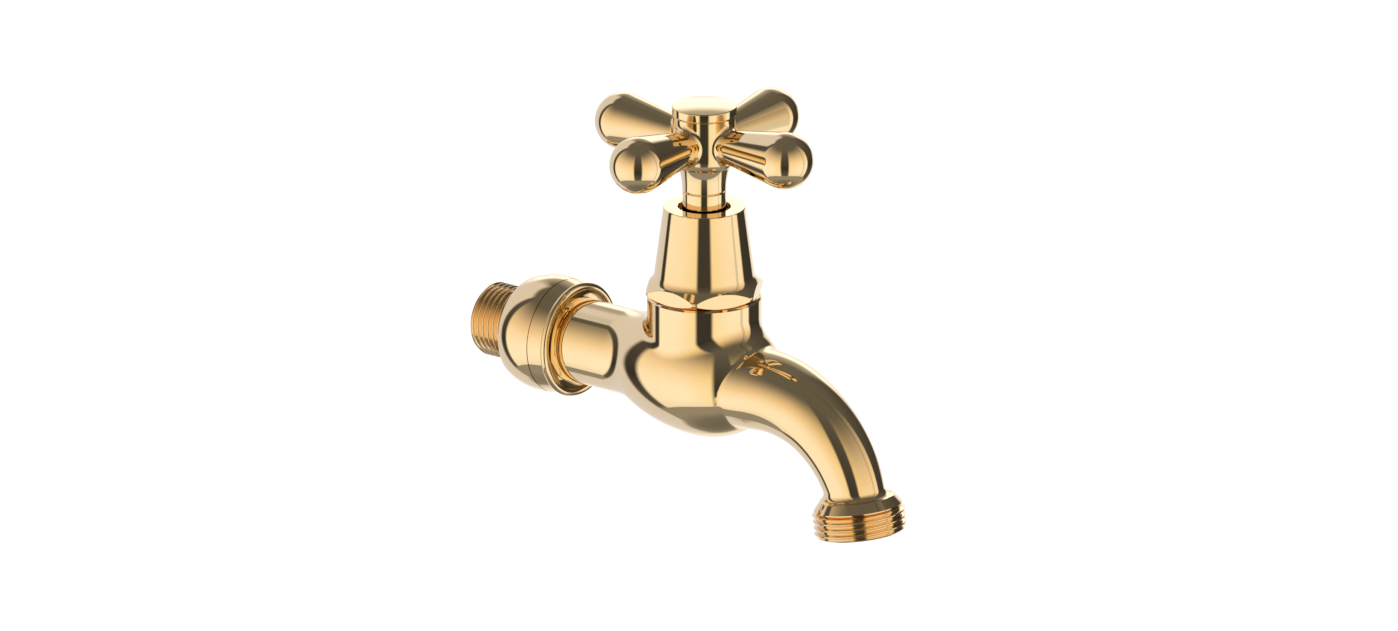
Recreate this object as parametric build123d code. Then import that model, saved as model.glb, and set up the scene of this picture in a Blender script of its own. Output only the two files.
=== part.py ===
from build123d import *
from math import acos, atan, cos, radians, sin, sqrt, tan
import os

# Wall-mounted cross-handle tap for a shower column, with a threaded hose outlet.
# Millimetres. The origin is where the inlet axis meets the wall face.
# +Z is up, -Y points out from the wall, and the valve axis stands at y = -reach.

# Layout
reach = 64.1                     # wall face to the valve axis
neck_top = 22.7                  # flat top of the body's neck, above the inlet axis
thread_clearance = 0.05          # radial, between a screw thread's two cylinders
slide_clearance = 0.05           # radial, where the spindle and jumper run
fixed_clearance = 0.1            # radial, between pieces that only slip together once

# Pipe threads, G1/2 and G3/4 with 14 turns to the inch
thread_pitch = 1.814
thread_depth = 1.1
thread_flat = 0.35               # width of a crest
thread_flank = 27.5              # half the angle between two flanks

# Inlet
inlet_thread_radius = 10.48      # G1/2 male, over its crests
inlet_thread_length = 14.0       # how far the tail reaches into the wall
inlet_relief_length = 3.1        # undercut between the thread and the pipe's shoulder
inlet_bore_radius = 7.0
pipe_radius = 12.1
pipe_back = 12.4                 # where the pipe's shoulder stands off the wall face

# Body casting
globe_radius = 18.4
globe_offset = 1.5               # globe's widest place, out from the valve axis
globe_crown = 54.0               # curve of its long back, towards the wall
globe_nose = 23.0                # from the widest place to the front pole
pipe_blend = 20.8
neck_radius = 16.3
neck_blend = 5.5
neck_edge = 0.5
chamber_radius = 10.0            # round the jumper
chamber_floor = -2.5             # top of the bridge that carries the seat
passage_radius = 4.3             # waterway under the bridge
passage_level = -10.2
passage_start = 24.0             # from the valve axis back towards the wall
passage_low_end = 8.0            # where the passage levels out, back from the valve axis
inlet_bore_end = 18.3            # blind end of the inlet bore, back from the valve axis
passage_drop = 1.5               # passage's start below the inlet axis
sump_depth = 3.8                 # below the passage's centre line
port_start = 8.5                 # where the spout's bore opens, out from the valve axis

# Spout
spout_level = -1.25              # centre line where the spout leaves the globe
spout_straight = 23.0            # valve axis to the start of the bend
spout_bend_radius = 34.0
outlet_tilt = 8.5                # outlet axis from the vertical, leaning away from the wall
spout_root_radius = 11.5
spout_tip_radius = 8.2
spout_wall = 2.3
spout_blend = 3.0
spout_stations = 9

# Outlet
outlet_thread_radius = 13.22     # G3/4 male, over its crests
outlet_thread_length = 7.8
outlet_relief_length = 0.45
outlet_bore_radius = 8.4
outlet_bore_depth = 9.0
collar_top_radius = 10.7
collar_low_radius = 12.7
collar_height = 2.6
collar_start = -4.0              # collar's top, from the end of the bend
collar_blend = 2.2

# Wall flange, in two pieces
cup_front_radius = 16.4
cup_draft = 1.9                  # narrower at the wall by this much
cup_bow = 1.05                   # its side stands off a straight cone by this much
cup_wall = 1.5
cup_web = 2.4
ring_front = 17.9                # centre of the rolled lip, off the wall face
ring_draft = 0.9                 # narrower at the lip by this much
lip_inset = 0.1                  # lip's centre, in from the ring's side
lip_radius = 1.1
dish_depth = 1.4
seam_chamfer = 0.25

# Renewable seat
seat_hole_radius = 5.4
seat_barrel_radius = 7.2
seat_barrel_depth = 1.8
seat_flange_radius = 8.8
seat_flange_height = 0.6
seat_lip_height = 0.6
seat_lip_width = 1.1
seat_gap = 0.1                   # between the closed washer and the seat

# Jumper
washer_thickness = 3.5
washer_radius = 8.3
washer_grip = 1.6                # how deep the washer sits in the jumper's cup
jumper_radius = 9.3
jumper_plate = 2.2
jumper_stem_radius = 3.0
jumper_stem_length = 11.0
stud_radius = 2.0
jumper_nut_flats = 7.0
jumper_nut_height = 2.6
stud_end = 0.8                   # stud showing below its nut

# Headgear
headgear_thread_radius = 10.48   # G1/2 male, into the neck
headgear_nose_radius = 9.4
headgear_bottom = 9.6
headgear_thread_bottom = 11.8
headgear_washer_height = 1.5
headgear_washer_radius = 12.2
headgear_hex_flats = 21.0
headgear_hex_height = 6.0
headgear_barrel_radius = 9.2
headgear_top = 40.2
packing_radius = 6.4
packing_floor = 33.0
packing_height = 2.6
gland_washer_height = 1.0
gland_nut_flats = 14.0
gland_nut_head = 2.6
gland_hole_gap = 0.3

# Spindle
spindle_thread_radius = 6.2
spindle_thread_length = 16.0
spindle_radius = 4.0
spindle_gap = 0.1                # under the spindle's foot
o_ring_thickness = 1.1
o_ring_height = 27.6
handle_lift = 4.5                # rise from closed to fully open
lift_margin = 0.5                # left under the headgear's shoulder when fully open
drive_flats = 5.6
drive_gap = 0.2                  # spindle's end below the hub's floor
bore_relief = 1.0                # spindle's blind holes past the stem's and screw's ends
clip_radius = 5.4
clip_thickness = 0.8
clip_groove = 0.5
clip_above_gland = 0.5

# Bonnet cover
cover_top_radius = 11.65
cover_height = 26.4              # its foot stands on the neck's top
cover_cone_radius = 14.25
cover_cone_rise = 6.8            # where the cone starts, above the foot
cover_skirt_radius = 17.2
cover_skirt_rise = 2.0           # widest place, above the foot
cover_bevel_rise = 4.75          # top of the spanner collar's bevel, above the foot
cover_foot_radius = 15.1
cover_flats = 31.0
cover_flats_turn = 30.0          # a corner points straight out from the wall
cover_edge = 0.5
cover_cavity_radius = 9.7
cover_hole_radius = 7.5
cover_wall = 1.6
cover_roof = 2.0
cover_shoulder_rise = 11.8       # where the bore closes in on the headgear

# Handle
sleeve_radius = 6.24
sleeve_rise = 4.7                # above the bonnet cover
groove_height = 0.5
groove_depth = 0.7
skirt_height = 7.5               # groove included
skirt_low_radius = 6.3
skirt_top_radius = 7.6
arm_rise = 7.2                   # arms' centre line, above the hub's foot
hub_radius = 8.9
hub_undercut = 3.4
hub_foot_radius = 7.8
hub_height = 15.0
hub_recess_radius = 6.9
hub_floor_rise = 7.6
arm_reach = 29.6
ball_radius = 8.23
arm_root_radius = 4.75
arm_blend = 1.8
arm_count = 4
handle_washer_radius = 4.6
handle_washer_height = 0.8
screw_radius = 1.9
screw_length = 10.0
screw_head_radius = 3.5
screw_head_height = 2.4
screw_head_edge = 0.5
screw_socket_flats = 2.5
screw_socket_depth = 1.5
cap_radius = 9.24
cap_rim = 2.3
cap_gap = 0.4
cap_seat_radius = 8.3
cap_dome = 0.6
cap_plug_depth = 4.2
cap_plug_wall = 1.3
cap_edge = 0.35

# Places that follow from the sizes above
valve_axis = Pos(0, -reach, 0)
seat_top = chamber_floor + seat_flange_height + seat_lip_height
washer_bottom = seat_top + seat_gap
plate_bottom = washer_bottom + washer_thickness
plate_top = plate_bottom + jumper_plate
spindle_bottom = plate_top + spindle_gap
spindle_shoulder = spindle_bottom + spindle_thread_length
headgear_shoulder = spindle_shoulder + handle_lift + lift_margin
headgear_seat = neck_top + headgear_washer_height
bonnet_top = neck_top + cover_height
sleeve_top = bonnet_top + sleeve_rise
hub_foot = sleeve_top + skirt_height
hub_top = hub_foot + hub_height
hub_floor = hub_foot + hub_floor_rise
arm_height = hub_foot + arm_rise
gland_nut_seat = packing_floor + packing_height + gland_washer_height
gland_top = headgear_top + gland_nut_head
clip_bottom = gland_top + clip_above_gland
sleeve_bottom = clip_bottom + clip_thickness
spindle_top = hub_floor - drive_gap
screw_seat = hub_floor + handle_washer_height
cap_bottom = hub_top + cap_gap
bend_angle = 90 - outlet_tilt
thread_start = collar_start + collar_height
outlet_end = thread_start + outlet_thread_length
cup_back_radius = cup_front_radius - cup_draft
ring_end_radius = cup_front_radius - ring_draft
lip_circle_radius = ring_end_radius - lip_inset


def spun(*edges):
    """A solid of revolution about the valve axis, from edges drawn as (radius, 0, height)."""
    return valve_axis * revolve(make_face(edges), Axis.Z)


def turned(points):
    """A solid of revolution about the valve axis, from (radius, height) corners."""
    return spun(Polyline(*[(r, 0, z) for r, z in points], close=True))


def tube(outer, inner, bottom, top):
    """A plain ring on the valve axis."""
    return turned([(inner, bottom), (outer, bottom), (outer, top), (inner, top)])


def rod(radius, bottom, top):
    """A plain cylinder on the valve axis."""
    return turned([(0, bottom), (radius, bottom), (radius, top), (0, top)])


def prism(flats, sides, bottom, top, turn=0.0):
    """An upright prism on the valve axis, given across its flats."""
    outline = Rot(0, 0, turn) * RegularPolygon(flats / 2, sides, major_radius=False)
    return valve_axis * Pos(0, 0, bottom) * extrude(outline, top - bottom)


def inlet_spun(*edges):
    """A solid of revolution about the inlet axis, from edges drawn as (off the wall, radius)."""
    return Rot(0, 0, -90) * revolve(make_face(edges), Axis.X)


def inlet_turned(points):
    """A solid of revolution about the inlet axis, from (off the wall, radius) corners."""
    return inlet_spun(Polyline(*points, close=True))


def spout_plane(angle, along=0.0):
    """A plane across the spout's centre line, some way round its bend, then straight on."""
    a = radians(angle)
    out = reach + spout_straight + spout_bend_radius * sin(a) + along * cos(a)
    height = spout_level - spout_bend_radius * (1 - cos(a)) - along * sin(a)
    return Plane(origin=(0, -out, height), x_dir=(1, 0, 0), z_dir=(0, -cos(a), -sin(a)))


def spout_tube(root_radius, tip_radius, start):
    """The bent tube, tapering evenly from a point on its straight lead-in to its bend's end."""
    taper = (root_radius - tip_radius) / (radians(bend_angle) * spout_bend_radius)
    lead = spout_straight - start
    sections = []
    for i in range(spout_stations):
        share = i / (spout_stations - 1)
        radius = root_radius + (tip_radius - root_radius) * share
        sections.append(spout_plane(bend_angle * share) * Circle(radius))
    straight = spout_plane(0, -lead / 2).location * Cone(root_radius + taper * lead, root_radius, lead)
    return straight + loft(sections)


def outlet_turned(points):
    """A solid of revolution about the outlet axis, from (radius, past the bend) corners."""
    profile = make_face(Polyline(*[(r, 0, along) for r, along in points], close=True))
    return spout_plane(bend_angle).location * revolve(profile, Axis.Z)


def thread_ridges(radius, start, end):
    """Rings that stand for a thread's turns, as (along, radius) corners, as many as fit whole."""
    rise = thread_depth * tan(radians(thread_flank))
    root = thread_pitch - thread_flat - 2 * rise
    corners = []
    for i in range(int((end - start) / thread_pitch)):
        foot = start + i * thread_pitch + root / 2
        corners += [(foot, radius - thread_depth), (foot + rise, radius),
                    (foot + rise + thread_flat, radius),
                    (foot + 2 * rise + thread_flat, radius - thread_depth)]
    return corners


def blended(first, second, radius):
    """Two solids fused, with the corner between them filleted."""
    joined = first + second
    return fillet(new_edges(first, second, combined=joined), radius)


def passage_between(start, end):
    """A round waterway with a ball end, between (off the wall, height) points."""
    a = Vector(0, -start[0], start[1])
    b = Vector(0, -end[0], end[1])
    bore = Plane(origin=a, z_dir=b - a) * Cylinder(
        passage_radius, (b - a).length, align=(Align.CENTER, Align.CENTER, Align.MIN))
    return bore + Pos(*b) * Sphere(passage_radius)


def make_waterway():
    """Everything that the casting is hollow of, from the inlet to the outlet."""
    inlet = inlet_turned([
        (-inlet_thread_length, 0), (-inlet_thread_length, inlet_bore_radius),
        (reach - inlet_bore_end, inlet_bore_radius), (reach - inlet_bore_end, 0)])
    low = (reach - passage_low_end, passage_level)
    way = passage_between((reach - passage_start, -passage_drop), low)
    way += passage_between(low, (reach, passage_level))
    way += rod(seat_hole_radius, passage_level - sump_depth, chamber_floor)
    way += rod(seat_barrel_radius + thread_clearance, chamber_floor - seat_barrel_depth, chamber_floor)
    chamber = rod(chamber_radius, chamber_floor, headgear_thread_bottom)
    chamber += rod(headgear_thread_radius + thread_clearance, headgear_thread_bottom, neck_top)
    spout = spout_tube(spout_root_radius - spout_wall, spout_tip_radius - spout_wall, port_start)
    mouth = outlet_turned([
        (0, outlet_end - outlet_bore_depth), (outlet_bore_radius, outlet_end - outlet_bore_depth),
        (outlet_bore_radius, outlet_end), (0, outlet_end)])
    return [inlet, way, chamber, spout, mouth]


def make_tap_body():
    # The pipe flares into the globe's long back. The globe's nose is half an egg.
    widest = reach + globe_offset
    lean = acos(1 - (globe_radius - pipe_radius) / (globe_crown + pipe_blend))
    swell = (widest - (globe_crown + pipe_blend) * sin(lean), pipe_radius)
    join = (swell[0] + pipe_blend * sin(lean), pipe_radius + pipe_blend * (1 - cos(lean)))
    globe = inlet_spun(
        Polyline((widest + globe_nose, 0), (pipe_back, 0), (pipe_back, pipe_radius), swell),
        TangentArc(swell, join, tangent=(1, 0)),
        TangentArc(join, (widest, globe_radius), tangent=(cos(lean), sin(lean))),
        EllipticalCenterArc((widest, 0), globe_nose, globe_radius, 0, arc_size=90))
    neck = chamfer(
        rod(neck_radius, 0, neck_top).edges().group_by(Axis.Z)[-1], neck_edge)
    casting = blended(globe, neck, neck_blend)
    casting = blended(casting, spout_tube(spout_root_radius, spout_tip_radius, 0), spout_blend)
    # The outlet's collar is a bevel that runs down to the thread.
    root = outlet_thread_radius - thread_depth
    ridges = thread_ridges(outlet_thread_radius, thread_start + outlet_relief_length, outlet_end)
    collar = outlet_turned([
        (0, collar_start), (collar_top_radius, collar_start), (collar_low_radius, thread_start),
        (root, thread_start)] + [(r, along) for along, r in ridges]
        + [(root, outlet_end), (0, outlet_end)])
    casting = blended(casting, collar, collar_blend)
    root = inlet_thread_radius - thread_depth
    ridges = thread_ridges(inlet_thread_radius, -inlet_thread_length, pipe_back - inlet_relief_length)
    casting += inlet_turned(
        [(-inlet_thread_length, 0), (-inlet_thread_length, root)] + ridges
        + [(pipe_back, root), (pipe_back, 0)])
    for hollow in make_waterway():
        casting -= hollow
    return casting


def seamed(piece):
    """A flange piece with its outer edge at the seam broken by a small chamfer."""
    rims = [e for e in piece.edges().filter_by(GeomType.CIRCLE)
            if abs(e.radius - cup_front_radius) < 1e-3]
    seam = [e for e in rims if abs(e.center().Y + pipe_back) < 1e-3]
    return chamfer(seam, seam_chamfer)


def make_flange():
    """The two wall covers: a cup against the wall and a front ring with a rolled lip."""
    web_back = pipe_back - cup_web
    bore = inlet_thread_radius + thread_clearance
    mid_radius = (cup_back_radius + cup_front_radius) / 2 + cup_bow
    cup = inlet_spun(
        ThreePointArc((0, cup_back_radius), (pipe_back / 2, mid_radius),
                      (pipe_back, cup_front_radius)),
        Polyline((pipe_back, cup_front_radius), (pipe_back, bore), (web_back, bore),
                 (web_back, cup_front_radius - cup_wall), (0, cup_back_radius - cup_wall),
                 (0, cup_back_radius)))
    ring_bore = pipe_radius + fixed_clearance
    dish_foot = (ring_front - dish_depth, ring_bore)
    dish_edge = (ring_front, lip_circle_radius - lip_radius)
    lip_back = ring_front - sqrt(lip_radius ** 2 - lip_inset ** 2)
    lip_end = (lip_back, ring_end_radius)
    ring = inlet_spun(
        Polyline(lip_end, (pipe_back, cup_front_radius), (pipe_back, ring_bore), dish_foot),
        TangentArc(dish_foot, dish_edge, tangent=(0, 1)),
        ThreePointArc(dish_edge, (ring_front + lip_radius, lip_circle_radius), lip_end))
    return {"flange_cup": seamed(cup), "flange_ring": seamed(ring)}


def make_valve_seat():
    """The renewable seat ring: a barrel in the bridge, a flange on it and a raised lip."""
    flange_top = chamber_floor + seat_flange_height
    lip = seat_hole_radius + seat_lip_width
    return turned([
        (seat_hole_radius, chamber_floor - seat_barrel_depth),
        (seat_barrel_radius, chamber_floor - seat_barrel_depth),
        (seat_barrel_radius, chamber_floor), (seat_flange_radius, chamber_floor),
        (seat_flange_radius, flange_top), (lip, flange_top), (lip, seat_top),
        (seat_hole_radius, seat_top)])


def make_jumper():
    """The jumper with its cup, the washer that shuts on the seat, and the nut that holds it."""
    cup_bore = washer_radius + thread_clearance
    nut_bottom = washer_bottom - jumper_nut_height
    valve = turned([
        (0, nut_bottom - stud_end), (stud_radius, nut_bottom - stud_end), (stud_radius, plate_bottom),
        (cup_bore, plate_bottom), (cup_bore, plate_bottom - washer_grip),
        (jumper_radius, plate_bottom - washer_grip), (jumper_radius, plate_top),
        (jumper_stem_radius, plate_top), (jumper_stem_radius, plate_top + jumper_stem_length),
        (0, plate_top + jumper_stem_length)])
    stud_hole = stud_radius + thread_clearance
    washer = tube(washer_radius, stud_hole, washer_bottom, plate_bottom)
    nut = prism(jumper_nut_flats, 6, nut_bottom, washer_bottom)
    nut -= rod(stud_hole, nut_bottom, washer_bottom)
    return {"jumper_valve": valve, "jumper_washer": washer, "jumper_nut": nut}


def make_headgear():
    """The headgear body that screws into the neck, with its washer, packing and gland nut."""
    thread_bore = spindle_thread_radius + thread_clearance
    stem_bore = spindle_radius + slide_clearance
    box_bore = packing_radius + thread_clearance
    body = turned([
        (thread_bore, headgear_bottom), (headgear_nose_radius, headgear_bottom),
        (headgear_nose_radius, headgear_thread_bottom),
        (headgear_thread_radius, headgear_thread_bottom), (headgear_thread_radius, headgear_seat),
        (headgear_barrel_radius, headgear_seat), (headgear_barrel_radius, headgear_top),
        (box_bore, headgear_top), (box_bore, packing_floor), (stem_bore, packing_floor),
        (stem_bore, headgear_shoulder), (thread_bore, headgear_shoulder)])
    collar = prism(headgear_hex_flats, 6, headgear_seat, headgear_seat + headgear_hex_height)
    body += collar - rod(thread_bore, headgear_seat, headgear_seat + headgear_hex_height)
    washer = tube(headgear_washer_radius, headgear_thread_radius + fixed_clearance,
                  neck_top, headgear_seat)
    packing_top = packing_floor + packing_height
    gland_bore = spindle_radius + gland_hole_gap
    nut = tube(packing_radius, gland_bore, gland_nut_seat, headgear_top)
    head = prism(gland_nut_flats, 6, headgear_top, gland_top)
    nut += head - rod(gland_bore, headgear_top, gland_top)
    return {
        "headgear_body": body,
        "headgear_washer": washer,
        "gland_packing": tube(packing_radius, stem_bore, packing_floor, packing_top),
        "gland_washer": tube(packing_radius, gland_bore, packing_top, gland_nut_seat),
        "gland_nut": nut}


def make_bonnet_cover():
    """The tapered cover over the headgear, flared at its foot and flatted for a spanner."""
    cone_bottom = neck_top + cover_cone_rise
    widest_at = neck_top + cover_skirt_rise
    bevel_top = neck_top + cover_bevel_rise
    shoulder = neck_top + cover_shoulder_rise
    slope = (cover_cone_radius - cover_top_radius) / (bonnet_top - cone_bottom)
    foot_bore = cover_cone_radius - cover_wall
    shoulder_bore = headgear_barrel_radius + thread_clearance
    upper_bore = cover_top_radius + slope * (bonnet_top - shoulder) - cover_wall
    roof = bonnet_top - cover_roof
    outer = spun(
        Polyline((0, 0, neck_top), (0, 0, bonnet_top), (cover_top_radius, 0, bonnet_top),
                 (cover_cone_radius, 0, cone_bottom)),
        TangentArc((cover_cone_radius, 0, cone_bottom), (cover_foot_radius, 0, bevel_top),
                   tangent=(slope, 0, -1)),
        Polyline((cover_foot_radius, 0, bevel_top), (cover_skirt_radius, 0, widest_at),
                 (cover_foot_radius, 0, neck_top), (0, 0, neck_top)))
    widest = [e for e in outer.edges().filter_by(GeomType.CIRCLE)
              if abs(e.radius - cover_skirt_radius) < 1e-3]
    outer = fillet(widest, cover_edge)
    outer &= prism(cover_flats, 6, neck_top, bonnet_top, cover_flats_turn)
    inner = turned([
        (0, neck_top), (foot_bore, neck_top), (foot_bore, cone_bottom),
        (upper_bore, shoulder), (shoulder_bore, shoulder),
        (shoulder_bore, headgear_top), (cover_cavity_radius, headgear_top),
        (cover_cavity_radius, roof), (cover_hole_radius, roof),
        (cover_hole_radius, bonnet_top), (0, bonnet_top)])
    return outer - inner


def make_spindle():
    """The spindle with its ring seal, its clip and the sleeve that shows above the cover."""
    groove = spindle_radius - o_ring_thickness
    clip_bore = spindle_radius - clip_groove
    spindle = rod(spindle_thread_radius, spindle_bottom, spindle_shoulder)
    spindle += rod(spindle_radius, spindle_shoulder, spindle_top)
    spindle -= tube(spindle_radius, groove, o_ring_height - o_ring_thickness / 2,
                    o_ring_height + o_ring_thickness / 2)
    spindle -= tube(spindle_radius, clip_bore, clip_bottom, sleeve_bottom)
    square = prism(drive_flats, 4, hub_foot, spindle_top)
    spindle -= rod(spindle_radius, hub_foot, spindle_top) - square
    bore_top = plate_top + jumper_stem_length + bore_relief
    spindle -= rod(jumper_stem_radius + slide_clearance, spindle_bottom, bore_top)
    screw_hole = screw_radius + thread_clearance
    spindle -= rod(screw_hole, screw_seat - screw_length - bore_relief, spindle_top)
    ring = valve_axis * Pos(0, 0, o_ring_height) * Torus(
        spindle_radius - o_ring_thickness / 2, o_ring_thickness / 2 - slide_clearance)
    clip = tube(clip_radius, clip_bore + thread_clearance, clip_bottom, sleeve_bottom)
    clip -= valve_axis * Pos(0, 0, clip_bottom) * Box(
        2 * clip_radius, clip_bore, clip_thickness, align=(Align.MIN, Align.CENTER, Align.MIN))
    sleeve = tube(sleeve_radius, spindle_radius + fixed_clearance, sleeve_bottom, sleeve_top)
    return {"spindle": spindle, "spindle_o_ring": ring, "spindle_clip": clip,
            "stem_sleeve": sleeve}


def make_handle_skirt():
    """The flared ring under the hub, standing off the sleeve by a narrow groove."""
    bore = spindle_radius + fixed_clearance
    foot = sleeve_top + groove_height
    step = skirt_low_radius - groove_depth
    return spun(
        Polyline((bore, 0, hub_foot), (bore, 0, sleeve_top), (step, 0, sleeve_top), (step, 0, foot),
                 (skirt_low_radius, 0, foot)),
        TangentArc((skirt_low_radius, 0, foot), (skirt_top_radius, 0, hub_foot), tangent=(0, 0, 1)),
        Line((skirt_top_radius, 0, hub_foot), (bore, 0, hub_foot)))


def make_arm():
    """One arm of the handle: a cone that runs tangent into a ball, lying along +X."""
    span = arm_reach - hub_radius
    # The cone's line starts at the arm's root radius and just touches the ball.
    gap = span ** 2 - ball_radius ** 2
    rise = (sqrt((arm_root_radius * span) ** 2 - gap * (arm_root_radius ** 2 - ball_radius ** 2))
            - arm_root_radius * span) / gap
    lean = atan(rise)
    touch = (arm_reach - ball_radius * sin(lean), ball_radius * cos(lean))
    start = (hub_radius / 2, arm_root_radius - rise * hub_radius / 2)
    profile = make_face([
        Polyline((start[0], 0), start, touch),
        ThreePointArc(touch, (arm_reach + ball_radius * cos(radians(45)), ball_radius * sin(radians(45))),
                      (arm_reach + ball_radius, 0)),
        Line((arm_reach + ball_radius, 0), (start[0], 0))])
    return revolve(profile, Axis.X)


def make_cross_handle():
    """The hub with its arms, broached for the spindle and recessed for the screw and cap."""
    # The hub's lathe seam is turned away from the arms, where the blends run.
    hub = revolve(make_face([
        TangentArc((hub_radius, 0, hub_foot + hub_undercut), (hub_foot_radius, 0, hub_foot),
                   tangent=(0, 0, -1)),
        Polyline((hub_foot_radius, 0, hub_foot), (0, 0, hub_foot), (0, 0, hub_top),
                 (hub_radius, 0, hub_top), (hub_radius, 0, hub_foot + hub_undercut))]), Axis.Z)
    cross = valve_axis * Rot(0, 0, 180 / arm_count) * hub
    arm = make_arm()
    for i in range(arm_count):
        placed = valve_axis * Pos(0, 0, arm_height) * Rot(0, 0, i * 360 / arm_count) * arm
        cross = blended(cross, placed, arm_blend)
    cross -= rod(hub_recess_radius, hub_floor, hub_top)
    cross -= prism(drive_flats + 2 * fixed_clearance, 4, hub_foot, hub_floor)
    return cross


def dome_arc(radius, rim_height, rise):
    """Half a shallow dome's outline, from its rim to its crown on the valve axis."""
    sphere = (radius ** 2 + rise ** 2) / (2 * rise)
    middle = radius / 2
    height = rim_height + rise - sphere + sqrt(sphere ** 2 - middle ** 2)
    return ThreePointArc((radius, 0, rim_height), (middle, 0, height), (0, 0, rim_height + rise))


def make_handle_fixings():
    """The washer and screw that hold the handle down, and the cap that hides them."""
    head_top = screw_seat + screw_head_height
    washer = tube(handle_washer_radius, screw_radius + fixed_clearance, hub_floor, screw_seat)
    screw = rod(screw_radius, screw_seat - screw_length, screw_seat)
    head = rod(screw_head_radius, screw_seat, head_top)
    screw += chamfer(head.edges().group_by(Axis.Z)[-1], screw_head_edge)
    screw -= prism(screw_socket_flats, 6, head_top - screw_socket_depth, head_top)
    plug = hub_recess_radius - fixed_clearance
    rim_top = cap_bottom + cap_rim
    cap = spun(
        Polyline((0, 0, rim_top + cap_dome), (0, 0, cap_bottom), (plug - cap_plug_wall, 0, cap_bottom),
                 (plug - cap_plug_wall, 0, hub_top - cap_plug_depth),
                 (plug, 0, hub_top - cap_plug_depth), (plug, 0, hub_top),
                 (cap_seat_radius, 0, hub_top), (cap_seat_radius, 0, cap_bottom),
                 (cap_radius, 0, cap_bottom), (cap_radius, 0, rim_top)),
        dome_arc(cap_radius, rim_top, cap_dome))
    rim = [e for e in cap.edges().filter_by(GeomType.CIRCLE) if abs(e.radius - cap_radius) < 1e-3]
    return {"handle_washer": washer, "handle_screw": screw, "handle_cap": fillet(rim, cap_edge)}


nodes = {
    "tap_body": make_tap_body(),
    "valve_seat": make_valve_seat(),
    "bonnet_cover": make_bonnet_cover(),
    "handle_skirt": make_handle_skirt(),
    "cross_handle": make_cross_handle()}
for group in (make_flange(), make_jumper(), make_headgear(), make_spindle(), make_handle_fixings()):
    nodes.update(group)

os.makedirs("parts", exist_ok=True)
for name, solid in nodes.items():
    export_step(solid, f"parts/{name}.step")
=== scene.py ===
from math import acos, atan, atan2, cos, degrees, pi, radians, sin, sqrt

import bmesh
import bpy
import numpy as np
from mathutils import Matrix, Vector


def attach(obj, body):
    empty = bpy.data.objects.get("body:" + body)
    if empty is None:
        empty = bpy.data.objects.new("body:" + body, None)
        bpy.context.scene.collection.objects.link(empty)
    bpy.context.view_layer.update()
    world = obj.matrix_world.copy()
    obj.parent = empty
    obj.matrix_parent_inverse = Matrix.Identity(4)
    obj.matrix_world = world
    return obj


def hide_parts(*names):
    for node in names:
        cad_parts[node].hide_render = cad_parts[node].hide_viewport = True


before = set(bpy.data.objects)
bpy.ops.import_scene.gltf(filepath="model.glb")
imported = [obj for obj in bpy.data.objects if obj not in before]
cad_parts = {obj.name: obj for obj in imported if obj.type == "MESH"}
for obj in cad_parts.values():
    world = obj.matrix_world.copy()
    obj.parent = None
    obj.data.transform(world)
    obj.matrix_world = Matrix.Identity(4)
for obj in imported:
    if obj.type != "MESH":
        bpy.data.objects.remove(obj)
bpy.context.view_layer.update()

# Sizes are in millimetres, as in the construction, until a mesh is made.
MM = 0.001

# Layout: the inlet axis is the line x = 0, z = 0, and "out" is the distance from the wall face.
reach = 64.1
neck_top = 22.7
bonnet_top = 49.1
sleeve_top = 53.8
hub_foot = 61.3
arm_height = 68.5
hub_top = 76.3
hub_floor = 68.9

# Body
pipe_radius, pipe_back, pipe_blend = 12.1, 12.4, 20.8
globe_radius, globe_offset, globe_nose, globe_crown = 18.4, 1.5, 23.0, 54.0
neck_radius, neck_edge = 16.3, 0.5
neck_blend, spout_blend = 5.5, 3.0
inlet_thread, inlet_bore, inlet_tail = 10.48, 7.0, 14.0
relief_length, inlet_bore_end = 3.1, 45.8

# Spout and outlet
spout_level, spout_straight, spout_bend = -1.25, 23.0, 34.0
outlet_tilt = 8.5
spout_root, spout_tip, spout_wall = 11.5, 8.2, 2.3
spout_oval, spout_oval_length = 0.15, 25.0
collar_start, collar_height, collar_top, collar_low = -4.0, 2.6, 10.7, 12.7
collar_blend, collar_edge = 2.2, 0.3
outlet_thread, outlet_length, outlet_chamfer = 13.22, 7.8, 1.0
outlet_bore, outlet_bore_depth = 8.4, 9.0
thread_pitch, thread_depth, thread_flat, thread_flank = 1.814, 1.1, 0.35, radians(27.5)
outlet_relief, relief_depth, thread_lead, outlet_groove = 0.45, 1.22, 0.5, 0.85

# Handle
hub_radius, hub_undercut, hub_foot_radius = 8.9, 3.4, 7.8
arm_reach, ball_radius, arm_root, arm_blend = 29.6, 8.23, 4.75, 1.8

# The pipe flares between the swell and the join, and then the globe's long back bows to its widest.
widest = reach + globe_offset
flare_lean = acos(1 - (globe_radius - pipe_radius) / (globe_crown + pipe_blend))
swell = widest - (globe_crown + pipe_blend) * sin(flare_lean)
join = swell + pipe_blend * sin(flare_lean)
join_radius = pipe_radius + pipe_blend * (1 - cos(flare_lean))

bend = radians(90 - outlet_tilt)
thread_start = collar_start + collar_height
outlet_end = thread_start + outlet_length


# Meshes

def unit(vectors):
    return vectors / np.maximum(np.linalg.norm(vectors, axis=-1, keepdims=True), 1e-12)


def axis_frame(origin, along, across=(1, 0, 0)):
    """A 4x4 placing: local z runs along the axis, and local x across it."""
    z = np.array(along, float) / np.linalg.norm(along)
    x = np.array(across, float) - np.dot(across, z) * z
    x /= np.linalg.norm(x)
    place = np.eye(4)
    place[:3, 0], place[:3, 1], place[:3, 2], place[:3, 3] = x, np.cross(z, x), z, origin
    return place


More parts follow.
